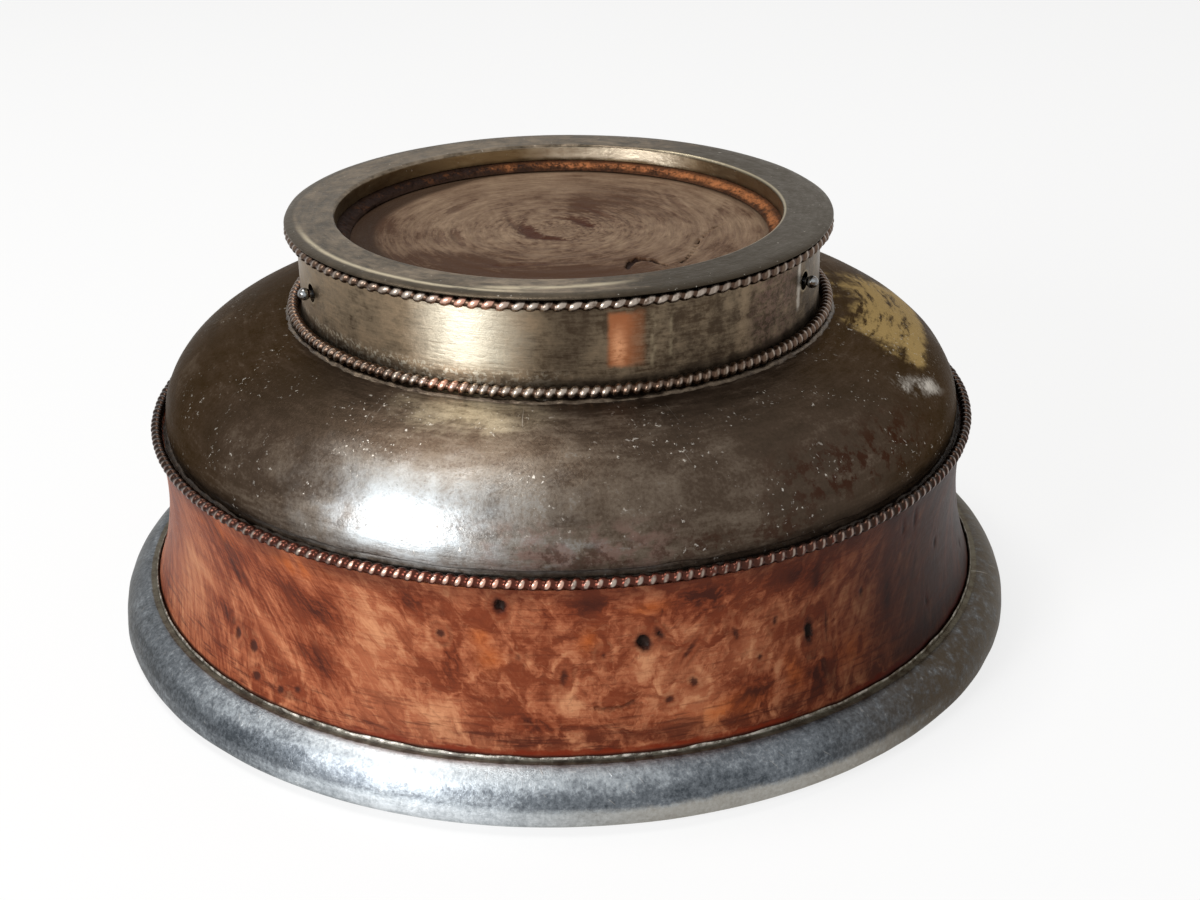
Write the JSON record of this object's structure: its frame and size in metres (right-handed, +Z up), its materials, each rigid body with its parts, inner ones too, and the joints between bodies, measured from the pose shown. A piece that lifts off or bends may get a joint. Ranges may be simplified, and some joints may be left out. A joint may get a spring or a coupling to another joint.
{
  "type": "silver-mounted wooden bowl",
  "caption": "Round turned burr-wood bowl with a silver lining, rolled rim mount and domed silver foot mount with twisted-wire borders, set mouth down.",
  "frame": {"origin": "middle of the plane that the lip stands on", "axes": "+Z up from the lip to the foot flange, along the axis that the bowl was turned on; -Y is the front, between the first two foot pins; +X is to the right seen from the front"},
  "size_m": [0.1306, 0.1306, 0.0584],
  "materials": {
    "burr_wood": "polished burr, red-brown, worn and unpolished under the foot",
    "liner_silver": "satin sheet silver",
    "rim_silver": "satin silver with fine scratches, cool grey",
    "calyx_silver": "tarnished silver, brown-grey patina with fine pits",
    "collar_silver": "satin silver with a warm brown tarnish",
    "flange_silver": "satin silver, grey, worn flat",
    "wire_silver": "twisted silver wire, dark between the strands",
    "lac_cement": "crumbled orange-brown lac cement",
    "pin_silver": "ball-headed silver pin"
  },
  "bodies": {
    "root": {"wooden_bowl": "burr_wood", "bowl_liner": "liner_silver", "rim_mount": "rim_silver", "calyx_shell": "calyx_silver", "calyx_rope_wire": "wire_silver", "foot_collar": "collar_silver", "foot_flange": "flange_silver", "foot_lower_rope_wire": "wire_silver", "foot_upper_rope_wire": "wire_silver", "lac_cement_bead": "lac_cement", "foot_pin_1": "pin_silver", "foot_pin_2": "pin_silver", "foot_pin_3": "pin_silver"}
  },
  "joints": []
}
